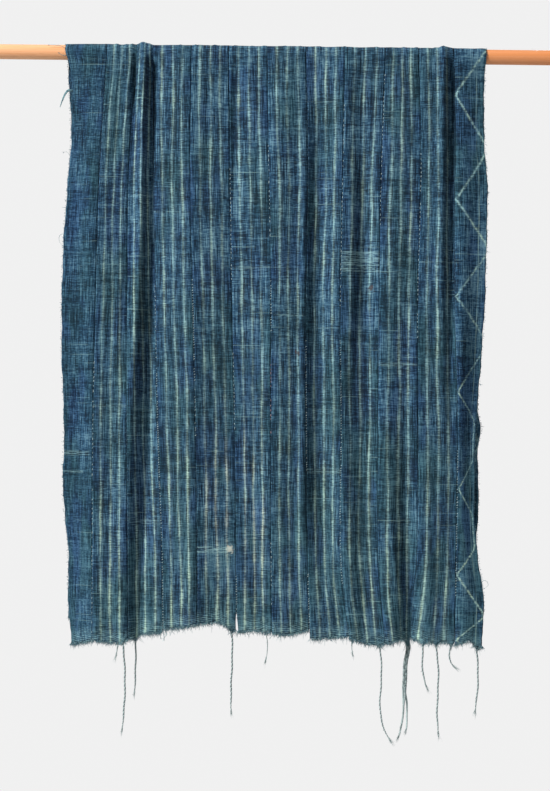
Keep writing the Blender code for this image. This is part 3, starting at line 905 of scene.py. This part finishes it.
def sewing(name, rows, side, seed, finish):
    """Stitches along stretches of the seams, on the front half for side -1 and on the back for 1."""
    draw = np.random.default_rng(seed)
    stitches = []
    for seam, start, stop, style in rows:
        pitch = RUN_PITCH if style == "run" else WHIP_PITCH
        drop = start + np.cumsum(pitch * draw.uniform(0.8, 1.25, int((stop - start) / pitch)))
        drop = drop[draw.random(len(drop)) > SKIPPED_STITCHES]
        stitches += [(seam, d, style) for d in drop]
    seams = np.array([float(row[0]) for row in stitches])
    along = side * (BEND_LENGTH / 2 + np.array([row[1] for row in stitches]) * MM)
    tubes = Tubes()
    t = np.linspace(-1, 1, len(STITCH_PROFILE))[:, None]
    lift = SHEET_THICKNESS / 2 + (STITCH_LIFT - STITCH_DIP * t * t) * MM
    frames = drape_frame(seams, along)
    for (_, _, style), at, sideways, lengthways, normal in zip(stitches, *frames):
        if style == "run":
            way = unit(lengthways + sideways * draw.normal(0, 0.06))
            reach = RUN_LENGTH * draw.uniform(0.6, 1.2) / 2
        else:
            way = unit(sideways + lengthways * draw.normal(0.5, 0.15))
            reach = WHIP_LENGTH * draw.uniform(0.8, 1.15) / 2
        points = at + sideways * draw.normal(0, 0.2) * MM + way * t * reach * MM + normal * lift
        tubes.add(points, STITCH_RADIUS * STITCH_PROFILE * MM, tone=draw.uniform(0.3, 0.9))
    return tubes.build(name, finish)


def back_sewing():
    """Stretches of sewing on the back half: every seam from the rod to the hem."""
    rows = []
    for seam in range(1, len(STRIPS)):
        start = 30 + 23 * (seam % 4)
        for number, length in enumerate(BACK_SEWING_LENGTHS):
            rows.append((seam, start, start + length - 40, "whip" if (seam + number) % 3 == 0 else "run"))
            start += length
    return rows


def turned_rod(finish):
    """The round rod with slightly eased ends."""
    lo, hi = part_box("rod")
    eased = (
        (0.0, ROD_RADIUS - ROD_EDGE),
        (ROD_EDGE * ROD_EDGE_SHARE, ROD_RADIUS - ROD_EDGE * ROD_EDGE_SHARE),
        (ROD_EDGE, ROD_RADIUS),
    )
    stations = [(lo.x + step, radius) for step, radius in eased]
    stations += [(lo.x + (hi.x - lo.x) * k / ROD_PARTS, ROD_RADIUS) for k in range(1, ROD_PARTS)]
    stations += [(hi.x - step, radius) for step, radius in reversed(eased)]
    angles = np.arange(ROD_SIDES) * 2 * math.pi / ROD_SIDES
    verts = [(x, radius * math.cos(a), radius * math.sin(a)) for x, radius in stations for a in angles]
    verts += [(lo.x, 0, 0), (hi.x, 0, 0)]
    rod = mesh_object("turned_rod", verts, ring_faces(len(stations), ROD_SIDES, 0), finish)
    rod.data.set_sharp_from_angle(angle=ROD_SHARP_ANGLE)
    return rod


class Nodes:
    """Short hands for a material's node tree."""

    def __init__(self, name):
        self.material = bpy.data.materials.new(name)
        self.material.use_nodes = True
        self.tree = self.material.node_tree
        self.shader = self.tree.nodes["Principled BSDF"]

    def link(self, value, socket):
        if isinstance(value, bpy.types.NodeSocket):
            self.tree.links.new(value, socket)
        else:
            socket.default_value = (*value, 1.0) if socket.type == "RGBA" else value

    def fill(self, node, inputs):
        """Gives a node's inputs values or links, by their keys in a dict and by order otherwise."""
        for key, value in inputs.items() if isinstance(inputs, dict) else enumerate(inputs):
            self.link(value, node.inputs[key])

    def node(self, kind, inputs=(), **settings):
        made = self.tree.nodes.new(kind)
        for key, value in settings.items():
            setattr(made, key, value)
        self.fill(made, inputs)
        return made

    def attribute(self, name):
        return self.node("ShaderNodeAttribute", attribute_name=name).outputs["Fac"]

    def object_place(self):
        return self.node("ShaderNodeTexCoord").outputs["Object"]

    def split(self, vector):
        return self.node("ShaderNodeSeparateXYZ", (vector,)).outputs

    def point(self, x, y, z=0.0):
        return self.node("ShaderNodeCombineXYZ", (x, y, z)).outputs[0]

    def math(self, operation, a, b=0.0, clamp=False):
        return self.node("ShaderNodeMath", (a, b), operation=operation, use_clamp=clamp).outputs[0]

    def sub(self, a, b):
        return self.math("SUBTRACT", a, b)

    def add(self, total, *values):
        for value in values:
            total = self.math("ADD", total, value)
        return total

    def mul(self, total, *values):
        for value in values:
            total = self.math("MULTIPLY", total, value)
        return total

    def blend(self, *pairs):
        """The sum of values, each times its share."""
        return self.add(*(self.mul(value, share) for value, share in pairs))

    def ramp(self, value, low, high, to_low=0.0, to_high=1.0, style="SMOOTHSTEP"):
        inputs = (value, low, high, to_low, to_high)
        return self.node("ShaderNodeMapRange", inputs, interpolation_type=style).outputs[0]

    def between(self, value, low, high, soft):
        """1 from low to high, with soft ends."""
        rise = self.ramp(value, low - soft, low + 2 * soft)
        return self.mul(rise, self.ramp(value, high + soft, high - 2 * soft))

    def bell(self, value, centre, width):
        """1 at the centre, falling smoothly to 0 about two widths away."""
        off = self.math("DIVIDE", self.sub(value, centre), width)
        return self.math("EXPONENT", self.mul(off, off, -1.0))

    def noise(self, vector, detail=2.0, rough=0.5, distortion=0.0):
        inputs = {"Vector": vector, "Scale": 1.0, "Detail": detail, "Roughness": rough}
        inputs["Distortion"] = distortion
        return self.node("ShaderNodeTexNoise", inputs, noise_dimensions="3D").outputs["Fac"]

    def mix(self, factor, a, b):
        inputs = {"Factor": factor, "A": a, "B": b}
        return self.node("ShaderNodeMix", inputs, data_type="RGBA", clamp_factor=True).outputs["Result"]

    def surface(self, colour, roughness, specular, height, strength, depth):
        """Ties the shader to a colour, a roughness and a bump of a depth in millimetres."""
        bump = self.node("ShaderNodeBump", {"Height": height, "Strength": strength, "Distance": depth * MM})
        inputs = {"Base Color": colour, "Roughness": roughness, "Specular IOR Level": specular}
        self.fill(self.shader, {**inputs, "Normal": bump.outputs["Normal"]})
        return self.material


def linear(*screen):
    """A colour given as 0 to 255 on screen, as the shader wants it."""
    return tuple(((c / 255 + 0.055) / 1.055) ** 2.4 if c > 10 else c / 255 / 12.92 for c in screen)


DEEP = linear(13, 30, 46)
INDIGO = linear(38, 73, 100)
DEEP_TEAL, TEAL = linear(16, 40, 48), linear(52, 88, 98)
DEEP_NAVY, NAVY = linear(8, 24, 50), linear(44, 76, 120)
FADED = linear(92, 126, 143)
STRIPE_BLUE = linear(152, 190, 192)
STRIPE_CREAM = linear(186, 211, 182)
STRIPE_SAND = linear(212, 206, 180)
# Painted shade for the recessed seams
SEAM_SHADE = linear(14, 26, 38)
RUST = linear(66, 56, 56)
MEND = linear(210, 206, 188)
WOOD_PALE, WOOD_TAN = linear(232, 181, 140), linear(216, 151, 102)
# The first colour below is painted shade for the rod's right end; the second is the colour of its pores.
WOOD_SHADED_END, WOOD_PORE = linear(208, 124, 64), linear(176, 112, 66)
YARNS = {
    # name: dark and light colour
    "loose end yarn": (linear(34, 50, 58), linear(164, 180, 180)),
    "frayed yarn": (linear(30, 62, 84), linear(112, 144, 150)),
    "pale sewing thread": (linear(118, 148, 158), linear(198, 218, 220)),
    "faded red sewing thread": (linear(120, 96, 110), linear(196, 170, 172)),
    "dark sewing thread": (linear(26, 40, 60), linear(80, 104, 124)),
}
GRAINS = {
    # name: size across, size along, offset, detail, roughness, share in the tone
    "warp_fine": (1.5, 42, 0.0, 2.0, 0.75, 2.6),
    "warp_broad": (5.5, 200, 5.0, 2.0, 0.5, 0.5),
    "weft_long": (34, 1.8, 10.0, 1.0, 0.5, 0.8),
    "weft_dash": (7.0, 1.5, 15.0, 1.0, 0.5, 1.05),
    "weft_band": (150, 9.0, 20.0, 3.0, 0.65, 0.85),
    "patch": (42, 95, 25.0, 3.0, 0.6, 0.8),
    "mottle": (4.0, 5.0, 30.0, 2.0, 0.5, 0.12),
}
# The second tone, of the last strip, is higher as painted light that offsets the shade of its turn away from
# the key light.
TONE, ZIGZAG_TONE_WITH_PAINTED_LIGHT = 0.34, 0.5
STRIPE_CENTRES = (0.24, 0.51, 0.77)
STRIPE_DRIFT = 0.16
HEM_PICK = 3.1
FOOT_HIGH, FOOT_LOW = 620.0, 230.0
SAND_DROP, SAND_REACH = 770.0, 130.0
SAND_PLACE, SAND_STRIPS = 5.0, 0.9
SPOTS = (
    # place in strips, drop, radius, colour, strength
    (8.79, 395, 4.6, RUST, 0.8),
    (6.73, 506, 4.0, RUST, 0.75),
    (4.84, 838, 6.5, MEND, 0.55),
)
PALE_WEFTS = (
    # place from, place to, drop from, drop to, strength
    (8.0, 9.0, 332, 368, 0.3),
    (0.0, 0.9, 674, 684, 0.2),
    (0.0, 0.7, 708, 713, 0.24),
    (4.0, 4.9, 834, 846, 0.4),
    (2.0, 3.0, 786, 800, 0.14),
    (6.0, 6.95, 440, 444, 0.25),
    (5.0, 6.0, 360, 363, 0.25),
    (10.0, 11.0, 348, 351, 0.25),
    (3.0, 4.0, 268, 272, 0.25),
    (9.0, 10.0, 520, 527, 0.18),
    (1.0, 2.0, 596, 601, 0.18),
    (7.0, 8.0, 700, 710, 0.18),
)


def cotton(name, striped=False, zigzag=False):
    """Hand-woven indigo cotton: warp streaks, weft lines, dye patches and pale resist stripes."""
    n = Nodes(name)
    place, along, _ = n.split(n.node("ShaderNodeUVMap", uv_map="cloth").outputs["UV"])
    strip, u = n.math("FLOOR", place), n.math("FRACT", place)
    x, y = n.mul(place, FLAT_STRIP_WIDTH / MM), n.mul(along, 1 / MM)
    seed = n.mul(strip, 13.7)
    to_hem = n.attribute("to_hem")

    def grain(across_size, along_size, offset, detail=1.0, rough=0.5):
        """Noise from -0.5 to 0.5 with its own size across and along the strip, in millimetres."""
        where = n.point(n.mul(x, 1 / across_size), n.mul(y, 1 / along_size), n.add(seed, offset))
        return n.sub(n.noise(where, detail, rough), 0.5)

    def run(column, size, offset, detail=2.0, rough=0.5):
        """Noise from 0 to 1 that changes along the strip alone."""
        return n.noise(n.point(column, n.mul(y, 1 / size), offset), detail, rough)

    grains = {kind: grain(*sizes) for kind, (*sizes, _) in GRAINS.items()}
    warp_fine, warp_broad, weft_long, weft_dash, _, _, mottle = grains.values()
    tone = n.blend(*((grains[kind], row[-1]) for kind, row in GRAINS.items()))
    # Paler towards the foot; on the last strip the tone is raised further as painted light.
    tone = n.add(tone, n.ramp(y, FOOT_HIGH, FOOT_LOW, 0.0, 0.08), ZIGZAG_TONE_WITH_PAINTED_LIGHT if zigzag else TONE)
    if zigzag:
        # Painted shadow: a darker band near the last strip's left side, cast by the right roll.
        tone = n.add(tone, n.mul(n.bell(u, 0.08, 0.16), -0.16))
    base = n.mix(n.ramp(tone, -0.05, 0.55), DEEP, INDIGO)
    base = n.mix(n.ramp(tone, 0.4, 1.0), base, FADED)
    green = n.add(grain(60, 150, 40.0, detail=2.0), n.mul(n.ramp(y, 900.0, 300.0), 0.12))
    even = n.ramp(tone, 0.0, 0.9)
    base = n.mix(n.mul(n.ramp(green, -0.1, 0.2), 0.7), base, n.mix(even, DEEP_TEAL, TEAL))
    navy = n.ramp(grain(38, 110, 70.0, detail=2.0), 0.0, 0.16)
    base = n.mix(n.mul(navy, 0.5), base, n.mix(even, DEEP_NAVY, NAVY))

    slub = n.mul(n.ramp(grain(24, 1.4, 45.0, detail=0.0), 0.2, 0.3), n.ramp(grain(60, 26, 50.0), 0.0, 0.15))
    base = n.mix(n.mul(slub, 0.5), base, FADED)
    stray = grain(110, 1.3, 55.0, detail=0.0)
    base = n.mix(n.mul(n.ramp(stray, 0.3, 0.34), 0.4), base, STRIPE_BLUE)

    if striped:
        lump = n.ramp(n.add(weft_dash, n.mul(mottle, 0.8)), -0.3, 0.3, 0.75, 1.3)
        pale = 0.0
        for number, centre in enumerate(STRIPE_CENTRES):
            own = n.add(seed, 3.1 * number)
            drift = n.sub(run(0.0, 170, own), 0.5)
            strength = run(0.5, 75, n.add(own, 20.0), detail=3.0, rough=0.65)
            fat = run(0.9, 22, n.add(own, 50.0))
            middle = n.add(centre, n.mul(drift, STRIPE_DRIFT))
            core = n.bell(u, middle, n.mul(n.ramp(fat, 0.3, 0.75, 0.015, 0.034), lump))
            halo = n.bell(u, n.add(middle, 0.012), 0.075)
            line = n.mul(n.blend((core, 0.8), (halo, 0.15)), n.ramp(strength, 0.3, 0.66, 0.2, 1.0))
            pale = n.math("MAXIMUM", pale, line)
        threads = n.blend((warp_fine, 1.3), (weft_dash, 1.1), (weft_long, 0.8))
        pale = n.mul(pale, n.ramp(threads, -0.45, 0.5, 0.25, 1.15))
    if zigzag:
        line = n.add(n.attribute("zigzag"), n.mul(grain(8, 8, 3.0, detail=2.0), 5.0))
        broken = n.ramp(n.add(grain(5, 5, 9.0), n.mul(weft_dash, 0.8)), -0.2, 0.2, 0.15, 0.85)
        drawn = n.mul(n.bell(line, 0.0, 2.6), broken)
        worn = run(0.3, 60, 33.0)
        thread = n.bell(u, n.add(0.72, n.mul(n.sub(worn, 0.5), 0.08)), 0.016)
        pale = n.math("MAXIMUM", drawn, n.mul(thread, n.ramp(worn, 0.35, 0.6, 0.05, 0.4)))
    if striped or zigzag:
        foot = n.ramp(y, FOOT_HIGH, FOOT_LOW)
        cream = n.ramp(grain(20, 90, 80.0), -0.1, 0.2, 0.0, 0.5)
        cream = n.math("ADD", n.mul(foot, 0.35), cream, clamp=True)
        bright = n.math("MINIMUM", n.mul(pale, n.ramp(foot, 0.0, 1.0, 0.82, 1.0)), 0.92)
        sand = n.mul(n.bell(y, UV_TOP - SAND_DROP, SAND_REACH), n.bell(place, SAND_PLACE, SAND_STRIPS))
        sand = n.mul(sand, n.ramp(grain(70, 120, 90.0), -0.15, 0.1), 0.85)
        stripe = n.mix(sand, n.mix(cream, STRIPE_BLUE, STRIPE_CREAM), STRIPE_SAND)
        base = n.mix(bright, base, stripe)

    picks = n.math("SINE", n.blend((to_hem, 2 * math.pi / HEM_PICK), (warp_broad, 1.5)))
    rows = n.mul(n.ramp(to_hem, 28.0, 5.0), n.ramp(n.add(picks, n.mul(weft_dash, 3.0)), 0.0, 1.4))
    base = n.mix(n.mul(rows, 0.42), base, STRIPE_BLUE)

    # A dark line along each seam, of a strength that varies along the strip: painted shade of the recessed
    # seam.
    seam = n.ramp(n.math("MINIMUM", u, n.sub(1.0, u)), 0.018, 0.0)
    seam_shade_strength = n.ramp(run(strip, 24, 60.0), 0.45, 0.72, 0.02, 0.42)
    base = n.mix(n.mul(seam, seam_shade_strength), base, SEAM_SHADE)

    rows = n.ramp(n.add(weft_long, n.mul(weft_dash, 0.6)), -0.1, 0.12, 0.05, 1.1)
    for place_from, place_to, drop_from, drop_to, strength in PALE_WEFTS:
        inside = n.between(place, place_from, place_to, 0.01)
        inside = n.mul(inside, n.between(y, UV_TOP - drop_to, UV_TOP - drop_from, 1.0))
        base = n.mix(n.mul(inside, rows, strength), base, STRIPE_BLUE)

    for spot_place, spot_drop, size, colour, strength in SPOTS:
        ends = (n.point(x, y), (spot_place * FLAT_STRIP_WIDTH / MM, UV_TOP - spot_drop, 0.0))
        far = n.node("ShaderNodeVectorMath", ends, operation="DISTANCE").outputs["Value"]
        rough_edge = n.add(far, n.mul(mottle, 16.0))
        base = n.mix(n.mul(n.ramp(rough_edge, size * 1.3, size * 0.5), strength), base, colour)

    n.fill(n.shader, {"Sheen Weight": 0.02, "Sheen Roughness": 0.6})
    height = n.blend((warp_fine, 0.6), (weft_long, 0.4), (weft_dash, 0.8), (mottle, 0.3))
    return n.surface(base, n.ramp(tone, 0.0, 1.0, 0.82, 0.95), 0.08, height, 0.6, 0.6)


def yarn(name, dark, light):
    """Cotton yarn whose colour varies from piece to piece and along it."""
    n = Nodes(name)
    where = n.node("ShaderNodeVectorMath", {0: n.object_place(), "Scale": 420.0}, operation="SCALE")
    fleck = n.noise(where.outputs["Vector"])
    tone = n.add(n.attribute("tone"), n.mul(n.sub(fleck, 0.5), 0.9))
    return n.surface(n.mix(tone, dark, light), n.ramp(fleck, 0.2, 0.8, 0.84, 0.96), 0.2, fleck, 0.4, 0.2)


def wood(name):
    """Pale wood with a fine straight grain along the rod, painted darker and warmer towards its right end as
    shade.
    """
    n = Nodes(name)
    x, y, z = n.split(n.object_place())

    def grain(along, across_it, **style):
        """Noise drawn out along the rod, by its cells a metre along and across it."""
        return n.noise(n.point(n.mul(x, along), n.mul(y, across_it), n.mul(z, across_it)), **style)

    fibres = grain(6.0, 420.0, detail=4.0, rough=0.6, distortion=0.3)
    bands = grain(1.6, 90.0, distortion=0.6)
    pores = grain(60.0, 1500.0, detail=1.0)
    colour = n.mix(n.ramp(n.blend((fibres, 0.6), (bands, 0.5)), 0.35, 0.75), WOOD_PALE, WOOD_TAN)
    # Painted shade: darker and warmer towards the right end, away from the key light on the left.
    colour = n.mix(n.mul(n.ramp(x, -0.5, 0.5, style="LINEAR"), 0.8), colour, WOOD_SHADED_END)
    colour = n.mix(n.mul(n.ramp(pores, 0.64, 0.74), 0.35), colour, WOOD_PORE)
    height = n.add(fibres, n.mul(pores, -0.6))
    return n.surface(colour, n.ramp(fibres, 0.3, 0.7, 0.42, 0.55), 0.4, height, 0.25, 0.15)


def plain(name, colour):
    n = Nodes(name)
    n.fill(n.shader, {"Base Color": colour, "Roughness": 0.9})
    return n.material


def glowing(name, colour):
    n = Nodes(name)
    n.fill(n.shader, {"Base Color": (0.0, 0.0, 0.0), "Roughness": 0.9, "Specular IOR Level": 0.0})
    n.fill(n.shader, {"Emission Color": colour, "Emission Strength": 1.0})
    return n.material


# The photograph's frame: a pixel's real size at the throw, and the rod's middle and slope in pixels
PHOTO_HEIGHT = 791
PIXEL = 1.69 * MM
ROD_MIDDLE_PIXEL = 53.4
ROD_SLOPE = 0.0113
LENS, SENSOR = 90.0, 36.0

# The floor, the surround and the lights
FLOOR_HALF, FLOOR_LEVEL = 2.6, -2.0
FLOOR_GREY = (0.6, 0.6, 0.6)
SURROUND_RADIUS = 12.0
SURROUND_GREY = (0.875, 0.875, 0.875)
SKY, SKY_STRENGTH = (0.96, 0.98, 1.0, 1.0), 0.11
WHITE = (1.0, 1.0, 1.0)
MIDDLE = (0, 0, -0.5)
LIGHTS = (
    # name, place, target, size, power, colour
    ("key", (-4.4, -2.8, 2.6), MIDDLE, 1.7, 640, (1.0, 0.99, 0.97)),
    ("fill", (1.2, -5.0, 0.4), MIDDLE, 2.0, 34, WHITE),
    ("top", (0.2, -0.5, 3.2), (0, 0, 0), 1.2, 30, WHITE),
    ("back", (2.2, 4.5, 1.6), MIDDLE, 2.4, 260, WHITE),
)


def add_camera():
    """Looks level along +Y, turned by the slope that the rod has in the photograph."""
    data = bpy.data.cameras.new("camera")
    data.lens, data.sensor_width = LENS, SENSOR
    camera = placed("camera", data)
    down = (PHOTO_HEIGHT / 2 - ROD_MIDDLE_PIXEL) * PIXEL
    distance = PHOTO_HEIGHT * PIXEL * LENS / SENSOR
    camera.location = (down * ROD_SLOPE, -distance - BEND_RADIUS, -down)
    camera.rotation_euler = (math.radians(90), math.atan(-ROD_SLOPE), 0)
    bpy.context.scene.camera = camera


def add_stage():
    """A pale floor well below the throw, a pale surround that only the camera sees, and soft light."""
    corners = ((-1, -1), (1, -1), (1, 1), (-1, 1))
    verts = [(x * FLOOR_HALF, y * FLOOR_HALF, FLOOR_LEVEL) for x, y in corners]
    mesh_object("floor", verts, [np.array([[0, 1, 2, 3]])], plain("pale floor", FLOOR_GREY))
    ball = bmesh.new()
    bmesh.ops.create_uvsphere(ball, u_segments=48, v_segments=24, radius=SURROUND_RADIUS)
    mesh = bpy.data.meshes.new("surround")
    ball.to_mesh(mesh)
    ball.free()
    mesh.materials.append(glowing("pale surround", SURROUND_GREY))
    surround = placed("surround", mesh)
    surround.visible_diffuse = surround.visible_glossy = surround.visible_shadow = False
    surround.visible_transmission = surround.visible_volume_scatter = False
    world = bpy.data.worlds.new("studio")
    world.use_nodes = True
    background = world.node_tree.nodes["Background"].inputs
    background["Color"].default_value, background["Strength"].default_value = SKY, SKY_STRENGTH
    bpy.context.scene.world = world
    for name, location, target, size, power, colour in LIGHTS:
        data = bpy.data.lights.new(name, "AREA")
        data.shape, data.size, data.energy, data.color = "DISK", size, power, colour
        light = placed(name, data)
        light.location = location
        light.rotation_euler = (Vector(target) - Vector(location)).to_track_quat("-Z", "Y").to_euler()


def dress():
    """Makes every piece, ties it to the body, and hides the solids that it stands for."""
    striped = cotton("striped cotton", striped=True)
    dark = cotton("dark cotton")
    zigzag = cotton("zigzag cotton", zigzag=True)
    yarns = {name: yarn(name, *colours) for name, colours in YARNS.items()}

    rod = turned_rod(wood("pale wood"))
    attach(rod, "root")
    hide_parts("rod")

    fringed = {row[0] for row in THREADS} | {BRAID_ROOT[0]}
    for index, (name, _, hems, back_hem) in enumerate(STRIPS):
        finish = dark if index == 0 else zigzag if index == len(STRIPS) - 1 else striped
        strip = cloth_strip(index, finish)
        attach(strip, "root")
        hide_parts(f"strip_{name}")
        ends = []
        if name in fringed:
            ends.append(loose_ends(index, yarns["loose end yarn"]))
            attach(ends[0], "root")
            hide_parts(f"fringe_{name}")

    fuzz, pale = yarns["frayed yarn"], yarns["pale sewing thread"]
    small = [hem_fuzz(True, fuzz), hem_fuzz(False, fuzz), side_fuzz(fuzz)]
    for piece, thread, finish in (
        ("pale_stitches", "pale", pale),
        ("faded_red_stitches", "pink", yarns["faded red sewing thread"]),
        ("dark_stitches", "dark", yarns["dark sewing thread"]),
    ):
        rows = [row[:4] for row in SEWING if row[4] == thread]
        small.append(sewing(piece, rows, -1, SEWING_SEEDS[thread], finish))
    small.append(sewing("back_stitches", back_sewing(), 1, SEWING_SEEDS["back"], pale))
    for piece in small:
        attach(piece, "root")


bpy.context.scene.view_settings.view_transform = "Standard"
add_camera()
add_stage()
dress()
